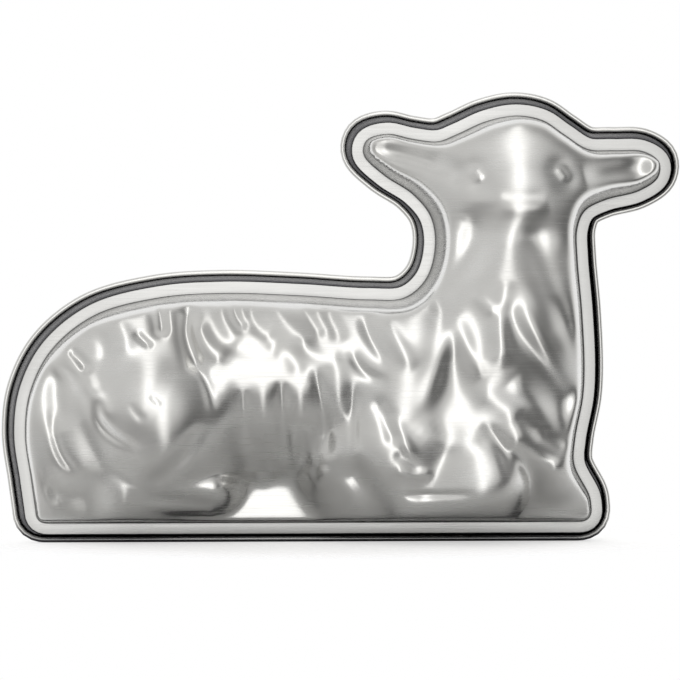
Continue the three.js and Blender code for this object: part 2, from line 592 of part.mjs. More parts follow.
// Stands the mould on the origin, in the middle of its length and depth
function assemble(wasm) {
  const fine = finePoints();
  const outline = { fine, foot: footPoints(fine) };
  const mould = new THREE.Group();
  mould.add(frontHalf(outline), backHalf(outline, wasm));
  const box = new THREE.Box3().setFromObject(mould, true);
  const middle = box.getCenter(new THREE.Vector3());
  mould.position.set(-middle.x, -middle.y, -box.min.z);
  return mould;
}

const manifold = await Module();
manifold.setup();

export default assemble(manifold);
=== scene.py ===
"""Looks of the lamb cake mould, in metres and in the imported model's frame.

Both pressed halves are drawn again with their full relief, in bright rolled aluminium, and stand
on a pale floor under soft studio light.
"""
import math

import bpy
import numpy as np
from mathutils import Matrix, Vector
from mathutils.geometry import delaunay_2d_cdt


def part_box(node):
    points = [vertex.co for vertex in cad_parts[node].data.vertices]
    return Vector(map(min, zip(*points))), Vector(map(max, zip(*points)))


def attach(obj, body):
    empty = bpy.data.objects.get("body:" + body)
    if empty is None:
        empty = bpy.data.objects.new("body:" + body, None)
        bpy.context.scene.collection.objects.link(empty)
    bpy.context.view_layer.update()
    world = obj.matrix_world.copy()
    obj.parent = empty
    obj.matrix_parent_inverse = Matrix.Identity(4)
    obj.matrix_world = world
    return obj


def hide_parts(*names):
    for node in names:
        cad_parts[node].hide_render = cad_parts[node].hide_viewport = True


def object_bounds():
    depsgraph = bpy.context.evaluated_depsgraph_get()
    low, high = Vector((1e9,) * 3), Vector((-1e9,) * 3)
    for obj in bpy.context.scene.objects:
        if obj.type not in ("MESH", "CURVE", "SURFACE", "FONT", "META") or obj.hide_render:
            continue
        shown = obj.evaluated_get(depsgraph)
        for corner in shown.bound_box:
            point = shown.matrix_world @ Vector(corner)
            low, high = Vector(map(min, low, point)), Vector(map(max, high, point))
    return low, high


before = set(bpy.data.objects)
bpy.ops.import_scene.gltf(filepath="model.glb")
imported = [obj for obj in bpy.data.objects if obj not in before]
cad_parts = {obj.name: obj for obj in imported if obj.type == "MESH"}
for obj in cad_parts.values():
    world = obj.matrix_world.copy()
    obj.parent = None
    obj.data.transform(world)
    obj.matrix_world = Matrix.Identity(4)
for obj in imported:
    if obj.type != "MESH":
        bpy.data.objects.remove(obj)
CAD_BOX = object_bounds()

# Sizes of the mould, as the solids have them
CAVITY_LENGTH = 0.253
FRONT_DEPTH = 0.048
BACK_DEPTH = 0.045
SHEET = 0.001
FLANGE_WIDTH = 0.0048
RIM_CLEARANCE = 0.0015
LIP_HEIGHT = 0.0046
BEAD_RADIUS = 0.001
BEND_RADIUS = 0.0008
WALL_DRAFT = math.radians(5)
FOOT_FILLET = 0.0008
CORNER_LEG = 6 * FOOT_FILLET
CROWN_SHARPNESS = 5
FORM_ROUND = 0.0018
STROKE_STEPS = 12
STROKE_REACH = 3
VENT_RADIUS = 0.0025
VENT_PLACE_SHARES = [[0.78, 0.57], [0.44, 0.2], [0.2, 0.2]]

# Fineness of the drawn sheets
OUTLINE_STEP = 0.0012
FRONT_STEP = 0.0009
BACK_STEP = 0.0016
WALL_RING_SHARES = [0.35, 0.8, 1.4, 2.2]
EDGE_ROUND = 0.0003
BEAD_STEPS = 20
BEND_STEPS = 7
VENT_STEPS = 24
CURVE_STEPS = 40
NET_MARGIN_SHARE = 0.6
VENT_EDGE_SHARE = 0.98
FLANGE_EDGE_SHARE = 0.98
LIP_CORNER_SHARE = 0.85
MERGE_DISTANCE = 1e-9

# Outline of the cavity, [along, up] as shares of its length
RIGHT_CORNER_SHARES = [0.889, 0]
LEFT_CORNER_SHARES = [0.016, 0]
FLANK_SHARES = [
    [0.886, 0.04], [0.862, 0.09], [0.8635, 0.13], [0.876, 0.195],
    [0.8785, 0.245], [0.875, 0.33], [0.868, 0.415], [0.868, 0.46], [0.88, 0.488],
    [0.912, 0.505], [0.965, 0.519], [0.995, 0.54], [0.997, 0.564], [0.972, 0.581],
    [0.925, 0.583], [0.885, 0.585], [0.848, 0.608], [0.815, 0.63], [0.773, 0.638],
    [0.725, 0.629], [0.68, 0.609], [0.65, 0.598], [0.61, 0.602], [0.57, 0.61],
    [0.538, 0.6], [0.533, 0.578], [0.565, 0.545], [0.61, 0.515], [0.638, 0.48],
    [0.645, 0.435], [0.631, 0.383], [0.597, 0.353], [0.54, 0.35], [0.43, 0.357],
    [0.31, 0.361], [0.21, 0.354], [0.11, 0.327], [0.042, 0.273], [0.008, 0.207],
    [0, 0.14], [0.009, 0.07],
]

# Rounded masses: [along, up, along, up, reach, reach, crest, crest, fall, power]. Places and
# reaches are shares of the cavity's length, crests and falls shares of the half's depth.
FRONT_MASS_SHARES = [
    # Ground, with a slope at each end
    [0.02, 0.03, 0.88, 0.03, 0.5, 0.5, 0.14, 0.14, 0.1, 2],
    [0.09, 0, 0.09, 0.1, 0.08, 0.08, 0.26, 0.54, 0.1, 2],
    [0.82, 0, 0.81, 0.1, 0.07, 0.07, 0.26, 0.54, 0.12, 2],
    # Trunk and rump
    [0.2, 0.255, 0.62, 0.255, 0.13, 0.13, 0.84, 0.84, 0.34, 2],
    [0.1, 0.19, 0.17, 0.26, 0.12, 0.13, 0.76, 0.84, 0.2, 2],
    [0.09, 0.17, 0.1, 0.12, 0.05, 0.05, 0.68, 0.6, 0.22, 2],
    # Thigh, shank, hoof and hind foot
    [0.205, 0.195, 0.225, 0.185, 0.078, 0.078, 0.98, 0.98, 0.16, 2],
    [0.235, 0.15, 0.16, 0.07, 0.07, 0.07, 0.86, 0.6, 0.26, 2],
    [0.2, 0.07, 0.3, 0.062, 0.036, 0.042, 0.54, 0.58, 0.34, 2],
    [0.15, 0.04, 0.29, 0.034, 0.028, 0.022, 0.46, 0.4, 0.3, 2.5],
    # Shoulder and elbow
    [0.61, 0.27, 0.585, 0.14, 0.085, 0.085, 0.92, 0.86, 0.16, 2],
    # Folded foreleg
    [0.61, 0.06, 0.712, 0.085, 0.088, 0.094, 0.7, 0.84, 0.6, 3],
    # Chest and neck
    [0.775, 0.5, 0.745, 0.3, 0.1, 0.09, 0.74, 0.94, 0.13, 2],
    [0.745, 0.3, 0.7, 0.19, 0.09, 0.09, 0.94, 0.86, 0.14, 2],
    [0.76, 0.32, 0.865, 0.2, 0.06, 0.06, 0.94, 0.68, 0.06, 2],
    [0.76, 0.16, 0.825, 0.11, 0.06, 0.05, 0.84, 0.7, 0.16, 2],
    # Head: forehead and muzzle
    [0.772, 0.56, 0.773, 0.525, 0.09, 0.09, 0.82, 0.83, 0.1, 2],
    [0.773, 0.525, 0.773, 0.49, 0.06, 0.06, 0.83, 0.8, 0.12, 2],
    # Ears
    [0.56, 0.578, 0.69, 0.55, 0.05, 0.06, 0.46, 0.66, 0.08, 2],
    [0.58, 0.556, 0.69, 0.51, 0.05, 0.07, 0.42, 0.62, 0.08, 2],
    [0.86, 0.545, 0.975, 0.552, 0.07, 0.05, 0.6, 0.48, 0.08, 2],
]

# Pressed strokes, each a curve through three places: [along, up, along, up, along, up, width,
# rise, taper]. Widths are shares of the cavity's length, rises shares of the depth.
FRONT_STROKE_SHARES = [
    # Rump
    [0.08, 0.26, 0.108, 0.222, 0.128, 0.18, 0.022, 0.05, 0],
    [0.075, 0.25, 0.066, 0.2, 0.08, 0.15, 0.022, -0.06, 1],
    [0.09, 0.268, 0.1, 0.258, 0.108, 0.248, 0.008, -0.03, 0],
    [0.131, 0.205, 0.137, 0.155, 0.195, 0.122, 0.008, -0.035, 1],
    [0.112, 0.212, 0.115, 0.207, 0.118, 0.202, 0.022, 0.035, 0],
    [0.045, 0.19, 0.055, 0.115, 0.09, 0.072, 0.013, 0.008, 1],
    [0.056, 0.19, 0.066, 0.12, 0.095, 0.085, 0.008, -0.02, 1],
    [0.219, 0.332, 0.222, 0.318, 0.224, 0.304, 0.01, -0.05, 0],
    [0.183, 0.302, 0.196, 0.288, 0.212, 0.276, 0.005, -0.02, 1],
    [0.15, 0.32, 0.165, 0.3, 0.17, 0.28, 0.014, 0.02, 0],
    [0.12, 0.3, 0.135, 0.285, 0.14, 0.265, 0.012, -0.02, 0],
    # Thigh and shank
    [0.262, 0.265, 0.29, 0.225, 0.302, 0.17, 0.008, -0.02, 1],
    [0.292, 0.165, 0.25, 0.105, 0.195, 0.06, 0.013, -0.035, 1],
    [0.178, 0.195, 0.187, 0.178, 0.202, 0.165, 0.006, -0.008, 1],
    [0.213, 0.2, 0.217, 0.196, 0.221, 0.192, 0.004, -0.006, 0],
    [0.035, 0.05, 0.09, 0.052, 0.15, 0.02, 0.026, -0.06, 1],
    # Upper back
    [0.262, 0.325, 0.264, 0.29, 0.275, 0.255, 0.014, -0.06, 0],
    [0.28, 0.3, 0.293, 0.28, 0.31, 0.265, 0.014, 0.03, 0],
    [0.333, 0.34, 0.336, 0.325, 0.345, 0.31, 0.008, -0.02, 0],
    [0.315, 0.335, 0.32, 0.315, 0.335, 0.29, 0.012, 0.015, 0],
    [0.36, 0.34, 0.365, 0.315, 0.385, 0.295, 0.012, -0.018, 0],
    [0.395, 0.345, 0.41, 0.315, 0.44, 0.285, 0.014, 0.018, 0],
    [0.34, 0.275, 0.365, 0.268, 0.39, 0.27, 0.014, -0.02, 0],
    [0.43, 0.345, 0.445, 0.325, 0.46, 0.3, 0.011, -0.018, 0],
    [0.47, 0.34, 0.485, 0.31, 0.5, 0.28, 0.012, -0.018, 1],
    [0.44, 0.28, 0.46, 0.262, 0.485, 0.258, 0.012, 0.015, 0],
    [0.4, 0.28, 0.42, 0.262, 0.43, 0.245, 0.012, -0.012, 0],
    # Belly
    [0.32, 0.235, 0.32, 0.19, 0.322, 0.13, 0.016, 0.018, 1],
    [0.378, 0.23, 0.378, 0.18, 0.38, 0.12, 0.018, 0.02, 1],
    [0.435, 0.225, 0.435, 0.18, 0.437, 0.11, 0.016, 0.018, 1],
    [0.49, 0.26, 0.492, 0.22, 0.495, 0.15, 0.016, 0.02, 1],
    [0.347, 0.215, 0.348, 0.175, 0.35, 0.12, 0.008, -0.018, 1],
    [0.405, 0.23, 0.407, 0.17, 0.41, 0.09, 0.01, -0.03, 1],
    [0.455, 0.25, 0.468, 0.18, 0.48, 0.1, 0.009, -0.03, 1],
    [0.42, 0.16, 0.424, 0.12, 0.425, 0.085, 0.006, 0.02, 1],
    [0.445, 0.16, 0.45, 0.12, 0.452, 0.085, 0.006, 0.02, 1],
    [0.512, 0.23, 0.515, 0.15, 0.512, 0.08, 0.01, -0.025, 1],
    [0.36, 0.082, 0.373, 0.07, 0.386, 0.08, 0.01, 0.02, 0],
    [0.445, 0.08, 0.457, 0.066, 0.469, 0.08, 0.01, 0.02, 0],
    # Shoulder
    [0.53, 0.33, 0.546, 0.285, 0.575, 0.245, 0.011, -0.035, 1],
    [0.556, 0.33, 0.578, 0.285, 0.61, 0.24, 0.013, 0.025, 1],
    [0.51, 0.275, 0.533, 0.237, 0.57, 0.225, 0.008, -0.025, 1],
    [0.555, 0.185, 0.567, 0.162, 0.575, 0.14, 0.012, -0.03, 0],
    [0.572, 0.175, 0.588, 0.14, 0.61, 0.105, 0.009, 0.02, 1],
    [0.587, 0.11, 0.597, 0.101, 0.607, 0.092, 0.01, -0.015, 0],
    [0.585, 0.086, 0.605, 0.082, 0.625, 0.082, 0.008, 0.015, 0],
    [0.52, 0.08, 0.545, 0.045, 0.565, 0.01, 0.02, -0.1, 0],
    # Slit of the folded foreleg, and the knee
    [0.585, 0.05, 0.645, 0.05, 0.7, 0.052, 0.005, -0.03, 1],
    [0.705, 0.16, 0.738, 0.127, 0.75, 0.07, 0.01, -0.02, 1],
    # Chest
    [0.655, 0.245, 0.672, 0.215, 0.69, 0.19, 0.034, -0.03, 0],
    [0.612, 0.17, 0.66, 0.128, 0.715, 0.148, 0.016, 0.025, 1],
    [0.664, 0.335, 0.648, 0.26, 0.618, 0.175, 0.013, 0.022, 1],
    [0.664, 0.335, 0.688, 0.268, 0.712, 0.225, 0.013, 0.022, 1],
    [0.703, 0.35, 0.712, 0.341, 0.721, 0.332, 0.01, 0.022, 0],
    [0.69, 0.38, 0.705, 0.315, 0.722, 0.255, 0.024, -0.04, 1],
    [0.752, 0.38, 0.738, 0.31, 0.745, 0.24, 0.014, 0.03, 1],
    [0.75, 0.325, 0.784, 0.265, 0.84, 0.205, 0.028, -0.06, 0],
    [0.75, 0.36, 0.806, 0.27, 0.868, 0.175, 0.015, 0.03, 1],
    [0.752, 0.225, 0.79, 0.19, 0.84, 0.15, 0.016, 0.03, 1],
    [0.718, 0.2, 0.738, 0.19, 0.76, 0.175, 0.018, 0.03, 0],
    [0.77, 0.168, 0.782, 0.16, 0.794, 0.15, 0.013, -0.025, 0],
    [0.805, 0.137, 0.817, 0.13, 0.829, 0.122, 0.012, -0.022, 0],
    [0.768, 0.132, 0.795, 0.112, 0.82, 0.09, 0.02, 0.03, 0],
    # Neck
    [0.706, 0.5, 0.69, 0.41, 0.622, 0.345, 0.027, -0.08, 1],
    [0.792, 0.44, 0.808, 0.38, 0.836, 0.31, 0.022, -0.035, 0],
    [0.822, 0.36, 0.852, 0.27, 0.872, 0.19, 0.014, -0.025, 1],
    # Head
    [0.66, 0.57, 0.772, 0.622, 0.88, 0.57, 0.014, -0.012, 1],
    [0.698, 0.547, 0.703, 0.537, 0.708, 0.527, 0.017, -0.025, 0],
    [0.7, 0.541, 0.703, 0.537, 0.706, 0.533, 0.008, 0.028, 0],
    [0.829, 0.548, 0.834, 0.538, 0.839, 0.528, 0.017, -0.02, 0],
    [0.831, 0.542, 0.834, 0.538, 0.837, 0.534, 0.008, 0.022, 0],
    [0.735, 0.502, 0.772, 0.503, 0.81, 0.502, 0.01, -0.01, 1],
    [0.73, 0.489, 0.772, 0.484, 0.814, 0.489, 0.012, 0.018, 1],
    # Ears
    [0.525, 0.578, 0.59, 0.573, 0.668, 0.545, 0.012, -0.06, 1],
    [0.645, 0.56, 0.66, 0.55, 0.675, 0.538, 0.016, -0.03, 0],
    [0.865, 0.533, 0.92, 0.545, 0.98, 0.552, 0.02, -0.06, 1],
]

BACK_MASS_SHARES = [
    # Ground, with a slope at each end
    [0.02, 0.03, 0.88, 0.03, 0.5, 0.5, 0.14, 0.14, 0.1, 2],
    [0.09, 0, 0.09, 0.1, 0.08, 0.08, 0.26, 0.54, 0.1, 2],
    [0.82, 0, 0.81, 0.1, 0.07, 0.07, 0.26, 0.54, 0.12, 2],
    # Trunk and rump
    [0.2, 0.255, 0.62, 0.255, 0.13, 0.13, 0.86, 0.86, 0.34, 2],
    [0.1, 0.19, 0.17, 0.26, 0.12, 0.13, 0.76, 0.84, 0.2, 2],
    [0.085, 0.17, 0.095, 0.12, 0.055, 0.055, 0.68, 0.62, 0.2, 3],
    # Hind leg
    [0.2, 0.2, 0.22, 0.19, 0.075, 0.075, 1, 1, 0.16, 2],
    [0.235, 0.15, 0.16, 0.07, 0.07, 0.07, 0.86, 0.6, 0.26, 2],
    [0.15, 0.045, 0.3, 0.045, 0.03, 0.03, 0.5, 0.48, 0.34, 4],
    # Foreleg
    [0.62, 0.26, 0.6, 0.14, 0.09, 0.085, 0.94, 0.86, 0.18, 2],
    [0.62, 0.07, 0.695, 0.085, 0.085, 0.09, 0.76, 0.84, 0.6, 4],
    # Chest and neck
    [0.775, 0.53, 0.745, 0.3, 0.1, 0.09, 0.74, 0.92, 0.1, 2],
    [0.745, 0.3, 0.7, 0.19, 0.09, 0.09, 0.92, 0.84, 0.14, 2],
    [0.76, 0.16, 0.81, 0.1, 0.05, 0.05, 0.82, 0.62, 0.2, 2],
    # Back of the head
    [0.772, 0.55, 0.773, 0.535, 0.1, 0.1, 0.88, 0.88, 0.22, 3],
    # Backs of the ears
    [0.57, 0.57, 0.69, 0.53, 0.06, 0.08, 0.4, 0.66, 0.08, 2],
    [0.86, 0.545, 0.975, 0.552, 0.07, 0.05, 0.66, 0.42, 0.08, 2],
]

BACK_STROKE_SHARES = [
    # Thigh and rump
    [0.262, 0.265, 0.29, 0.225, 0.302, 0.17, 0.01, -0.03, 1],
    [0.12, 0.3, 0.135, 0.285, 0.14, 0.25, 0.014, -0.02, 1],
    # Back and belly
    [0.3, 0.32, 0.32, 0.29, 0.35, 0.265, 0.014, -0.018, 1],
    [0.4, 0.33, 0.42, 0.3, 0.45, 0.27, 0.014, -0.018, 1],
    [0.49, 0.32, 0.51, 0.29, 0.54, 0.26, 0.014, -0.018, 1],
    [0.36, 0.235, 0.362, 0.19, 0.365, 0.13, 0.016, -0.02, 1],
    [0.44, 0.23, 0.442, 0.18, 0.445, 0.12, 0.016, -0.02, 1],
    [0.51, 0.23, 0.515, 0.17, 0.512, 0.1, 0.016, -0.02, 1],
    # Slit of the folded foreleg
    [0.58, 0.054, 0.645, 0.048, 0.715, 0.051, 0.007, -0.04, 1],
    # Neck
    [0.715, 0.53, 0.7, 0.42, 0.63, 0.345, 0.026, -0.05, 1],
    [0.815, 0.47, 0.832, 0.38, 0.87, 0.24, 0.024, -0.03, 1],
]

# Where the photograph has the object, in its 680 by 680 frame
IMAGE_PIXELS = 680
OBJECT_PIXELS = 677
MIDDLE_PIXEL = 340.5
BASE_PIXEL = 541
CAMERA_DISTANCE = 1.1
CAMERA_ROLL = math.radians(0.2)
CAMERA_REACH = 50
SENSOR_MM = 36

# Rolled aluminium: its lines and stains, their colours, and what they do to the roughness,
# and the colours of painted shade in its crevices and on the front flange
LINE_STRETCH = (40, 40, 2500)
LINE_SCALE = 1.0
LINE_DETAIL = 3.0
STAIN_STRETCH = (1, 1, 1.6)
STAIN_SCALE = 35.0
STAIN_DETAIL = 4.0
NOISE_LOW = 0.3
NOISE_HIGH = 0.7
STAINED_COLOUR = (0.72, 0.715, 0.70, 1)
CLEAN_COLOUR = (0.80, 0.80, 0.79, 1)
# Painted shade: the front flange and the foot of its wall are darkened, standing in for dimmer
# reflections there
FLANGE_SHADE_COLOUR = (0.55, 0.55, 0.545, 1)
# Painted shade: the colour that crevices, hollows and the rim's groove darken towards
CREVICE_SHADE_COLOUR = (0.07, 0.07, 0.075, 1)
CREVICE_SHADE_SAMPLES = 8
LINE_ROUGHNESS = (0.2, 0.28)
STAIN_ROUGHNESS = (-0.02, 0.03)
LINE_BUMP = 0.12
LINE_BUMP_HEIGHT = 0.0001

# Studio light. Spans are degrees away from straight in front of the object, and those of the
# band are degrees to either side of its middle.
ROOM_COLOUR = (1, 0.993, 0.975, 1)
ROOM_LIGHT = 0.69
ROOM_LIGHT_UP = 0.06
CENTRE_LIGHT = 0.1
CENTRE_SPAN = (8, 30)
RING_START_SPAN = (22, 50)
RING_END_SPAN = (62, 90)
RING_SHADE = 0.28
RING_SHADE_RIGHT = 0.22
RING_SHADE_UP = -0.1
BAND_LIGHT = 0.95
BAND_MIDDLE = -1.5
BAND_SPAN = (2, 15)
BAND_END_SPAN = (50, 90)
REAR_LIGHT = 0.31
REAR_SPAN = (90, 140)
MIRRORED_WHITE_SPAN = (90, 110)
DEGREES = 180 / math.pi
NO_ZERO = 1e-6

# Pale floor. Spans are along Y, and for its end away from the middle.
FLOOR_HALF = 0.4
FLOOR_COLOUR = (0.75, 0.75, 0.75, 1)
FLOOR_ROUGHNESS = 0.9
FLOOR_GLOW = 0.48
FRONT_WHITE_SPAN = (-0.15, -0.05)
REAR_WHITE_SPAN = (0, 0.3)
FLOOR_END_SPAN = (0.05, 0.1)
FLOOR_NARROWING = 0.6


def spline(points, steps):
    """Points along an open centripetal Catmull-Rom curve through the given ones."""
    ends = [2 * points[0] - points[1], 2 * points[-1] - points[-2]]
    chain = np.array([ends[0], *points, ends[1]])
    share = np.linspace(0, 1, steps, endpoint=False)[:, None]
    runs = []
    for before, start, end, after in zip(chain, chain[1:], chain[2:], chain[3:]):
        pairs = ((before, start), (start, end), (end, after))
        gaps = [math.sqrt(np.linalg.norm(b - a)) for a, b in pairs]
        enter = (start - before) / gaps[0] - (end - before) / (gaps[0] + gaps[1])
        enter = (enter + (end - start) / gaps[1]) * gaps[1]
        leave = (end - start) / gaps[1] - (after - start) / (gaps[1] + gaps[2])
        leave = (leave + (after - end) / gaps[2]) * gaps[1]
        square = -3 * start + 3 * end - 2 * enter - leave
        cube = 2 * start - 2 * end + enter + leave
        runs.append(start + enter * share + square * share ** 2 + cube * share ** 3)
    return np.concatenate(runs + [points[-1:]])


def bend(start, corner, end, steps):
    share = np.linspace(0, 1, steps)[:, None]
    return (1 - share) ** 2 * start + 2 * share * (1 - share) * corner + share ** 2 * end


def cavity_outline():
    """Even points round the cavity, anticlockwise from the front, and their outward directions."""
    flank, right, left = (
        np.array(share, float) * CAVITY_LENGTH
        for share in (FLANK_SHARES, RIGHT_CORNER_SHARES, LEFT_CORNER_SHARES)
    )
    along_base, up = np.array([CORNER_LEG, 0]), np.array([0, CORNER_LEG])
    flank = np.concatenate([[right + up], flank, [left + up]])
    path = np.concatenate([
        [left + along_base],
        bend(right - along_base, right, flank[0], CURVE_STEPS),
        spline(flank, CURVE_STEPS)[1:],
        bend(flank[-1], left, left + along_base, CURVE_STEPS)[1:],
    ])
    along = np.concatenate([[0], np.cumsum(np.linalg.norm(np.diff(path, axis=0), axis=1))])
    count = round(along[-1] / OUTLINE_STEP)
    even = np.linspace(0, along[-1], count, endpoint=False)
    places = np.stack([np.interp(even, along, path[:, axis]) for axis in (0, 1)], axis=1)
    run = np.roll(places, -1, axis=0) - np.roll(places, 1, axis=0)
    run /= np.linalg.norm(run, axis=1)[:, None]
    return places, np.stack([run[:, 1], -run[:, 0]], axis=1)


def nearest_on_segment(places, start, end):
    """Share of the way along the segment, and distance from it, of each place."""
    run = np.subtract(end, start)
    square = run @ run
    share = np.clip((places - start) @ run / square, 0, 1) if square > 0 else np.zeros(len(places))
    return share, np.linalg.norm(places - start - share[:, None] * run, axis=1)


def distance_to_loop(loop, places):
    nearest = np.full(len(places), np.inf)
    for start, end in zip(loop, np.roll(loop, -1, axis=0)):
        box = np.abs(places - (start + end) / 2).max(axis=1) < nearest + OUTLINE_STEP
        nearest[box] = np.minimum(nearest[box], nearest_on_segment(places[box], start, end)[1])
    return nearest


def is_inside(loop, places):
    inside = np.zeros(len(places), bool)
    for start, end in zip(loop, np.roll(loop, -1, axis=0)):
        if start[1] == end[1]:
            continue
        crosses = (start[1] > places[:, 1]) != (end[1] > places[:, 1])
        at = start[0] + (places[:, 1] - start[1]) / (end[1] - start[1]) * (end[0] - start[0])
        inside ^= crosses & (places[:, 0] < at)
    return inside


def nearest_on_stroke(places, start, middle, end):
    """Share of the way along the curve through the three places, and distance from it."""
    control = 2 * middle - (start + end) / 2
    curve = bend(start, control, end, STROKE_STEPS + 1)
    nearest = np.full(len(places), np.inf)
    share = np.zeros(len(places))
    for step, (first, second) in enumerate(zip(curve, curve[1:])):
        part, away = nearest_on_segment(places, first, second)
        closer = away < nearest
        nearest[closer] = away[closer]
        share[closer] = (step + part[closer]) / STROKE_STEPS
    return share, nearest


def relief_height(half, places, distance):
    """Height of the relief over the flange: a steep wall near the outline, the masses inside."""
    shares = places / CAVITY_LENGTH
    total = np.zeros(len(places))
    for x1, z1, x2, z2, reach1, reach2, crest1, crest2, fall, power in half["masses"]:
        share, away = nearest_on_segment(shares, (x1, z1), (x2, z2))
        share = share ** 2 * (3 - 2 * share)
        spread = away / (reach1 + (reach2 - reach1) * share)
        crest = crest1 + (crest2 - crest1) * share - fall * spread ** power
        total += np.exp(half["depth"] * crest / FORM_ROUND)
    masses = FORM_ROUND * np.log(total)
    for *spots, width, rise, taper in half["strokes"]:
        start, middle, end = np.reshape(spots, (3, 2))
        near = np.abs(shares - middle).max(axis=1) < np.ptp([start, middle, end]) + STROKE_REACH * width
        share, away = nearest_on_stroke(shares[near], start, middle, end)
        fade = (1 - (2 * share - 1) ** 4) ** 2
        swell = rise * (1 - taper + taper * fade) * np.exp(-(away / width) ** 2)
        masses[near] += half["depth"] * swell
    wall = (np.hypot(distance, FOOT_FILLET) - FOOT_FILLET) / math.tan(WALL_DRAFT)
    blend = (wall / masses) ** CROWN_SHARPNESS + 1
    return wall / blend ** (1 / CROWN_SHARPNESS)


def lattice(loop, step, holes):
    """Places in rows, each row moved half a step, inside the loop and clear of the holes."""
    low, high = loop.min(axis=0), loop.max(axis=0)
    row_step = step * math.sin(math.pi / 3)
    rows = []
    for row in range(1, int((high[1] - low[1]) / row_step) + 1):
        start = low[0] + (row % 2) * step / 2
        line = np.arange(start, high[0], step)
        rows.append(np.stack([line, np.full(len(line), low[1] + row * row_step)], axis=1))
    places = np.concatenate(rows)
    places = places[is_inside(loop, places)]
    margin = step * NET_MARGIN_SHARE
    places = places[distance_to_loop(loop, places) > margin]
    for hole in holes:
        away = np.linalg.norm(places - hole.mean(axis=0), axis=1)
        places = places[away > VENT_RADIUS + margin]
    return places


def strip(first, second, count):
    """Faces between a ring of points and the next ring outside it."""
    index = np.arange(count)
    following = (index + 1) % count
    corners = [first + index, second + index, second + following, first + following]
    return np.stack(corners, axis=1).tolist()


def sheet_net(half, outline, outward):
    """Places and faces that fill the outline: its own points first, the vents' rings last."""
    rings = [outline - outward * FOOT_FILLET * share for share in (0, *WALL_RING_SHARES)]
    turn = np.linspace(0, 2 * math.pi, VENT_STEPS, endpoint=False)
    circle = np.stack([np.cos(turn), np.sin(turn)], axis=1) * VENT_RADIUS
    holes = [np.multiply(vent, CAVITY_LENGTH) + circle for vent in half["vents"]]
    field = lattice(rings[-1], half["step"], holes)
    places = np.concatenate([*rings, field, *holes])
    count = len(outline)
    last = count * (len(rings) - 1)
    first_hole = len(places) - VENT_STEPS * len(holes)
    vent_rings = [first_hole + VENT_STEPS * k for k in range(len(holes))]
    edges = []
    for first, size in [(last, count)] + [(ring, VENT_STEPS) for ring in vent_rings]:
        start = first - last
        edges += [(start + i, start + (i + 1) % size) for i in range(size)]
    spots = [Vector(place) for place in places[last:]]
    filled = delaunay_2d_cdt(spots, edges, [], 0, MERGE_DISTANCE, False)
    corners = np.array([face for face in filled[2]])
    middles = places[last:][corners].mean(axis=1)
    kept = is_inside(rings[-1], middles)
    for hole in holes:
        away = np.linalg.norm(middles - hole.mean(axis=0), axis=1)
        kept &= away > VENT_RADIUS * VENT_EDGE_SHARE
    corners = corners[kept]
    a, b, c = (places[last:][corners[:, k]] for k in range(3))
    wound = (b - a)[:, 0] * (c - a)[:, 1] - (b - a)[:, 1] * (c - a)[:, 0] < 0
    corners[wound] = corners[wound][:, ::-1]
    faces = (corners + last).tolist()
    for ring in range(1, len(rings)):
        faces += strip(ring * count, (ring - 1) * count, count)
    return places, faces, vent_rings


def points_behind(points, faces, rim_count):
    """The inner face's points, a sheet's thickness behind the outer ones, square to the faces."""
    triangles = np.array([[f[0], f[i], f[i + 1]] for f in faces for i in range(1, len(f) - 1)])
    a, b, c = (points[triangles[:, k]] for k in range(3))
    square = np.cross(c - a, b - a)
    normals = np.zeros_like(points)
    for k in range(3):
        np.add.at(normals, triangles[:, k], square)
    normals[:rim_count] = (0, 1, 0)
    return points - SHEET * normals / np.linalg.norm(normals, axis=1)[:, None]


def pressed_half(name, body, half, section, side, origin):
    """One half as a closed sheet of even thickness, ending in a rim with the given section."""
    outline, outward = cavity_outline()
    places, faces, holes = sheet_net(half, outline, outward)
    height = relief_height(half, places, distance_to_loop(outline, places)) + SHEET
    outer = np.stack([places[:, 0], height, places[:, 1]], axis=1)
    count = len(outline)
    inner = points_behind(outer, faces, count)
    rim = [np.insert(outline + outward * out, 1, up, axis=1) for out, up in section]
    starts = [2 * len(outer) + k * count for k in range(len(rim))]
    every = list(faces) + [[v + len(outer) for v in reversed(face)] for face in faces]
    for first, second in zip([0, *starts], [*starts, len(outer)]):
        every += strip(first, second, count)
    for hole in holes:
        every += strip(hole + len(outer), hole, VENT_STEPS)
    points = np.concatenate([outer, inner, *rim])
    points[:, 1] *= side
    if side > 0:
        every = [list(reversed(face)) for face in every]
    mesh = bpy.data.meshes.new(name)
    mesh.from_pydata((points + origin).tolist(), [], every)
    mesh.polygons.foreach_set("use_smooth", [True] * len(mesh.polygons))
    mesh.update()
    piece = bpy.data.objects.new(name, mesh)
    bpy.context.scene.collection.objects.link(piece)
    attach(piece, body)
    return piece


def front_section():
    """Flat flange with its edge slightly rounded: [distance outside the cavity, height]."""
    return [
        (EDGE_ROUND, SHEET),
        (FLANGE_WIDTH - 2 * EDGE_ROUND, SHEET),
        (FLANGE_WIDTH - EDGE_ROUND, SHEET * FLANGE_EDGE_SHARE),
        (FLANGE_WIDTH, SHEET - EDGE_ROUND),
        (FLANGE_WIDTH, EDGE_ROUND),
        (FLANGE_WIDTH - EDGE_ROUND, 0),
    ]


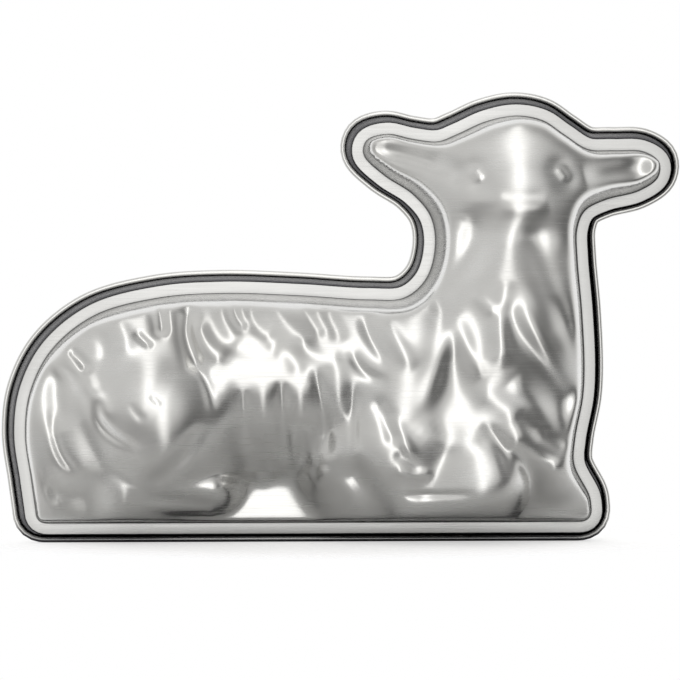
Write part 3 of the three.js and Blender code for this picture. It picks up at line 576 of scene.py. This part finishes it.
def back_section():
    """Flange, upturned lip and the edge rolled outwards."""
    lip = FLANGE_WIDTH + RIM_CLEARANCE
    middle = lip + BEAD_RADIUS
    level = BEAD_RADIUS - LIP_HEIGHT
    start = math.acos((SHEET - BEAD_RADIUS) / BEAD_RADIUS)
    bead = []
    for angle in np.linspace(-start, math.pi, BEAD_STEPS):
        bead.append((middle + BEAD_RADIUS * math.cos(angle), level - BEAD_RADIUS * math.sin(angle)))
    inner = []
    for angle in np.linspace(0, math.pi / 2, BEND_STEPS):
        inner.append((lip - BEND_RADIUS * (1 - math.cos(angle)), BEND_RADIUS * (math.sin(angle) - 1)))
    return [
        (EDGE_ROUND, SHEET),
        (lip - EDGE_ROUND, SHEET),
        (lip + SHEET / 2, SHEET),
        (lip + SHEET * LIP_CORNER_SHARE, SHEET * LIP_CORNER_SHARE),
        (lip + SHEET, SHEET / 2),
        (lip + SHEET, level + BEAD_RADIUS),
        *bead,
        *inner,
        (FLANGE_WIDTH - BEND_RADIUS, 0),
    ]


def rolled_aluminium(name, seed, crevice_reach, darkest, unshaded_openness, flange_shade_span=None):
    """Bright aluminium sheet: fine lines along its length, faint stains, painted shade (a darker
    colour) where less than the unshaded share of the surroundings is open, and painted shade (a
    duller colour) past the given span of Y, standing in for dimmer reflections on the flange."""
    material = bpy.data.materials.new(name)
    material.use_nodes = True
    nodes, links = material.node_tree.nodes, material.node_tree.links
    shader = nodes["Principled BSDF"]
    shader.inputs["Metallic"].default_value = 1.0
    place = nodes.new("ShaderNodeTexCoord")

    def noise(scale, detail, mapping):
        stretch = nodes.new("ShaderNodeMapping")
        stretch.inputs["Scale"].default_value = mapping
        stretch.inputs["Location"].default_value = (seed, seed, seed)
        links.new(place.outputs["Object"], stretch.inputs["Vector"])
        texture = nodes.new("ShaderNodeTexNoise")
        texture.inputs["Scale"].default_value = scale
        texture.inputs["Detail"].default_value = detail
        links.new(stretch.outputs["Vector"], texture.inputs["Vector"])
        return texture.outputs["Fac"]

    def spread(source, low, high, least=NOISE_LOW, most=NOISE_HIGH):
        span = nodes.new("ShaderNodeMapRange")
        span.inputs["From Min"].default_value = least
        span.inputs["From Max"].default_value = most
        span.inputs["To Min"].default_value = low
        span.inputs["To Max"].default_value = high
        links.new(source, span.inputs["Value"])
        return span.outputs["Result"]

    lines = noise(LINE_SCALE, LINE_DETAIL, LINE_STRETCH)
    stains = noise(STAIN_SCALE, STAIN_DETAIL, STAIN_STRETCH)
    tint = nodes.new("ShaderNodeMix")
    tint.data_type = "RGBA"
    tint.inputs["A"].default_value = STAINED_COLOUR
    tint.inputs["B"].default_value = CLEAN_COLOUR
    links.new(spread(stains, 0, 1), tint.inputs["Factor"])
    # Painted shade: ambient occlusion darkens the colour where the surroundings close in, in hollows
    # and the rim's groove
    crevice = nodes.new("ShaderNodeAmbientOcclusion")
    crevice.samples = CREVICE_SHADE_SAMPLES
    crevice.inputs["Distance"].default_value = crevice_reach
    crevice_shade = nodes.new("ShaderNodeMix")
    crevice_shade.data_type = "RGBA"
    crevice_shade.inputs["A"].default_value = CREVICE_SHADE_COLOUR
    links.new(spread(crevice.outputs["AO"], 0, 1, darkest, unshaded_openness), crevice_shade.inputs["Factor"])
    bare = tint.outputs["Result"]
    # Painted shade: past the given span of Y, near the parting plane, the colour is darkened to stand
    # in for dimmer reflections on the flange
    if flange_shade_span:
        parts = nodes.new("ShaderNodeSeparateXYZ")
        links.new(place.outputs["Object"], parts.inputs["Vector"])
        eased = node_helpers(material.node_tree)[1]
        painted_flange_shade = nodes.new("ShaderNodeMix")
        painted_flange_shade.data_type = "RGBA"
        painted_flange_shade.inputs["B"].default_value = FLANGE_SHADE_COLOUR
        links.new(eased(parts.outputs["Y"], *flange_shade_span), painted_flange_shade.inputs["Factor"])
        links.new(bare, painted_flange_shade.inputs["A"])
        bare = painted_flange_shade.outputs["Result"]
    links.new(bare, crevice_shade.inputs["B"])
    links.new(crevice_shade.outputs["Result"], shader.inputs["Base Color"])
    roughness = nodes.new("ShaderNodeMath")
    roughness.operation = "ADD"
    links.new(spread(lines, *LINE_ROUGHNESS), roughness.inputs[0])
    links.new(spread(stains, *STAIN_ROUGHNESS), roughness.inputs[1])
    links.new(roughness.outputs["Value"], shader.inputs["Roughness"])
    bump = nodes.new("ShaderNodeBump")
    bump.inputs["Strength"].default_value = LINE_BUMP
    bump.inputs["Distance"].default_value = LINE_BUMP_HEIGHT
    links.new(lines, bump.inputs["Height"])
    links.new(bump.outputs["Normal"], shader.inputs["Normal"])
    return material


def node_helpers(tree):
    """Two short ways to add nodes: one for a step of arithmetic, one for an eased change."""
    def value(kind, *inputs):
        node = tree.nodes.new("ShaderNodeMath")
        node.operation = kind
        for socket, source in zip(node.inputs, inputs):
            if isinstance(source, (int, float)):
                socket.default_value = source
            else:
                tree.links.new(source, socket)
        return node.outputs["Value"]

    def eased(source, start, end, low=0.0, high=1.0):
        span = tree.nodes.new("ShaderNodeMapRange")
        span.interpolation_type = "SMOOTHSTEP"
        span.inputs["From Min"].default_value = start
        span.inputs["From Max"].default_value = end
        span.inputs["To Min"].default_value = low
        span.inputs["To Max"].default_value = high
        tree.links.new(source, span.inputs["Value"])
        return span.outputs["Result"]

    return value, eased


def shown_white(tree, background):
    """1 for the camera, and for what the metal mirrors wherever background is 1."""
    value = node_helpers(tree)[0]
    path = tree.nodes.new("ShaderNodeLightPath")
    mirrored = value("ADD", path.outputs["Is Glossy Ray"], path.outputs["Is Transmission Ray"])
    return value("ADD", path.outputs["Is Camera Ray"], value("MULTIPLY", mirrored, background))


def studio_world():
    """White for the camera all round. The metal mirrors that white only behind the object, and in
    front of it a soft studio: an upright band of light, and a dimmer ring round the middle, darkest
    to the right and below."""
    world = bpy.data.worlds.new("studio")
    bpy.context.scene.world = world
    world.use_nodes = True
    tree = world.node_tree
    nodes, links = tree.nodes, tree.links
    value, eased = node_helpers(tree)
    place = nodes.new("ShaderNodeTexCoord")
    parts = nodes.new("ShaderNodeSeparateXYZ")
    links.new(place.outputs["Generated"], parts.inputs["Vector"])
    x, y, z = (parts.outputs[axis] for axis in "XYZ")
    off = value("ARCCOSINE", value("MULTIPLY", y, -1))
    off = value("MULTIPLY", off, DEGREES)
    square = value("ADD", value("MULTIPLY", x, x), value("MULTIPLY", z, z))
    around = value("SQRT", value("ADD", square, NO_ZERO))
    right, up = value("DIVIDE", x, around), value("DIVIDE", z, around)
    sideways = value("MULTIPLY", value("ARCTAN2", x, value("MULTIPLY", y, -1)), DEGREES)
    aside = value("ABSOLUTE", value("ADD", sideways, -BAND_MIDDLE))
    band = eased(aside, *BAND_SPAN, BAND_LIGHT, 0)
    ring = value("MULTIPLY", eased(off, *RING_START_SPAN), eased(off, *RING_END_SPAN, 1, 0))
    slope = value("MULTIPLY", right, RING_SHADE_RIGHT)
    slope = value("ADD", slope, value("MULTIPLY", up, RING_SHADE_UP))
    shade = value("ADD", RING_SHADE, slope)
    light = value("ADD", ROOM_LIGHT, value("MULTIPLY", up, ROOM_LIGHT_UP))
    light = value("SUBTRACT", light, value("MULTIPLY", ring, shade))
    light = value("ADD", light, eased(off, *CENTRE_SPAN, CENTRE_LIGHT, 0))
    light = value("ADD", light, value("MULTIPLY", band, eased(off, *BAND_END_SPAN, 1, 0)))
    light = value("ADD", light, eased(off, *REAR_SPAN, 0, REAR_LIGHT))
    room = nodes["Background"]
    room.inputs["Color"].default_value = ROOM_COLOUR
    links.new(light, room.inputs["Strength"])
    white = nodes.new("ShaderNodeBackground")
    white.inputs["Color"].default_value = (1, 1, 1, 1)
    mix = nodes.new("ShaderNodeMixShader")
    links.new(shown_white(tree, eased(off, *MIRRORED_WHITE_SPAN)), mix.inputs["Fac"])
    links.new(room.outputs["Background"], mix.inputs[1])
    links.new(white.outputs["Background"], mix.inputs[2])
    links.new(mix.outputs["Shader"], nodes["World Output"].inputs["Surface"])


def pale_floor():
    """A pale floor that keeps the shadow of the object at rest. It is lifted to the white of the
    background for the camera, and for the metal only before and behind the object. It fades out
    within 10 cm of the middle along Y and 17 cm along X, so the lifted front half is past its end."""
    mesh = bpy.data.meshes.new("floor")
    half = FLOOR_HALF
    corners = [(-half, -half, 0), (half, -half, 0), (half, half, 0), (-half, half, 0)]
    mesh.from_pydata(corners, [], [(0, 1, 2, 3)])
    floor = bpy.data.objects.new("floor", mesh)
    bpy.context.scene.collection.objects.link(floor)
    material = bpy.data.materials.new("pale_floor")
    material.use_nodes = True
    tree = material.node_tree
    nodes, links = tree.nodes, tree.links
    value, eased = node_helpers(tree)
    shader = nodes["Principled BSDF"]
    shader.inputs["Roughness"].default_value = FLOOR_ROUGHNESS
    shader.inputs["Base Color"].default_value = FLOOR_COLOUR
    place = nodes.new("ShaderNodeTexCoord")
    parts = nodes.new("ShaderNodeSeparateXYZ")
    links.new(place.outputs["Object"], parts.inputs["Vector"])
    glow = nodes.new("ShaderNodeEmission")
    glow.inputs["Color"].default_value = (1, 1, 1, 1)
    across = parts.outputs["Y"]
    away = value("ADD", eased(across, *FRONT_WHITE_SPAN, 1, 0), eased(across, *REAR_WHITE_SPAN))
    links.new(value("MULTIPLY", shown_white(tree, away), FLOOR_GLOW), glow.inputs["Strength"])
    both = nodes.new("ShaderNodeAddShader")
    links.new(shader.outputs["BSDF"], both.inputs[0])
    links.new(glow.outputs["Emission"], both.inputs[1])
    along = value("MULTIPLY", parts.outputs["X"], FLOOR_NARROWING)
    square = value("ADD", value("MULTIPLY", along, along), value("MULTIPLY", across, across))
    reach = value("SQRT", square)
    end = nodes.new("ShaderNodeMixShader")
    links.new(eased(reach, *FLOOR_END_SPAN), end.inputs["Fac"])
    links.new(both.outputs["Shader"], end.inputs[1])
    links.new(nodes.new("ShaderNodeBsdfTransparent").outputs["BSDF"], end.inputs[2])
    links.new(end.outputs["Shader"], nodes["Material Output"].inputs["Surface"])
    mesh.materials.append(material)


def camera():
    """A long lens straight in front, framed as the photograph is."""
    low, high = CAD_BOX
    pixel = (high[0] - low[0]) / OBJECT_PIXELS
    data = bpy.data.cameras.new("camera")
    data.sensor_width = SENSOR_MM
    data.lens = data.sensor_width * CAMERA_DISTANCE / (pixel * IMAGE_PIXELS)
    data.clip_end = CAMERA_REACH
    view = bpy.data.objects.new("camera", data)
    across = (IMAGE_PIXELS / 2 - MIDDLE_PIXEL) * pixel
    up = (BASE_PIXEL - IMAGE_PIXELS / 2) * pixel
    view.location = (across, -CAMERA_DISTANCE, up)
    view.rotation_euler = (math.pi / 2, CAMERA_ROLL, 0)
    bpy.context.scene.collection.objects.link(view)
    bpy.context.scene.camera = view


def halves():
    """Both halves, each placed by the box of the solid that it stands for."""
    front_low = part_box("front_half")[0]
    back_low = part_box("back_half")[0]
    rim_width = FLANGE_WIDTH + RIM_CLEARANCE + 2 * BEAD_RADIUS
    front = {
        "depth": FRONT_DEPTH, "step": FRONT_STEP, "vents": [],
        "masses": FRONT_MASS_SHARES, "strokes": FRONT_STROKE_SHARES,
    }
    back = {
        "depth": BACK_DEPTH, "step": BACK_STEP, "vents": VENT_PLACE_SHARES,
        "masses": BACK_MASS_SHARES, "strokes": BACK_STROKE_SHARES,
    }
    front_origin = (front_low.x + FLANGE_WIDTH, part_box("front_half")[1].y, front_low.z + FLANGE_WIDTH)
    back_origin = (back_low.x + rim_width, back_low.y + LIP_HEIGHT, back_low.z + rim_width)
    front_sheet = pressed_half(
        "front_sheet", "front", front, front_section(), -1, front_origin
    )
    back_sheet = pressed_half(
        "back_sheet", "back", back, back_section(), 1, back_origin
    )
    # Both sheets get painted crevice shade; the front one also a painted darker flange
    front_sheet.data.materials.append(rolled_aluminium(
        "front_aluminium", seed=0.0, crevice_reach=0.004, darkest=0.25, unshaded_openness=0.75,
        flange_shade_span=(-0.0022, -0.001),
    ))
    back_sheet.data.materials.append(rolled_aluminium(
        "back_aluminium", seed=3.7, crevice_reach=0.01, darkest=0.55, unshaded_openness=0.95,
    ))
    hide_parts("front_half")
    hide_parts("back_half")


halves()
studio_world()
pale_floor()
camera()

bpy.context.scene.view_settings.view_transform = "Standard"
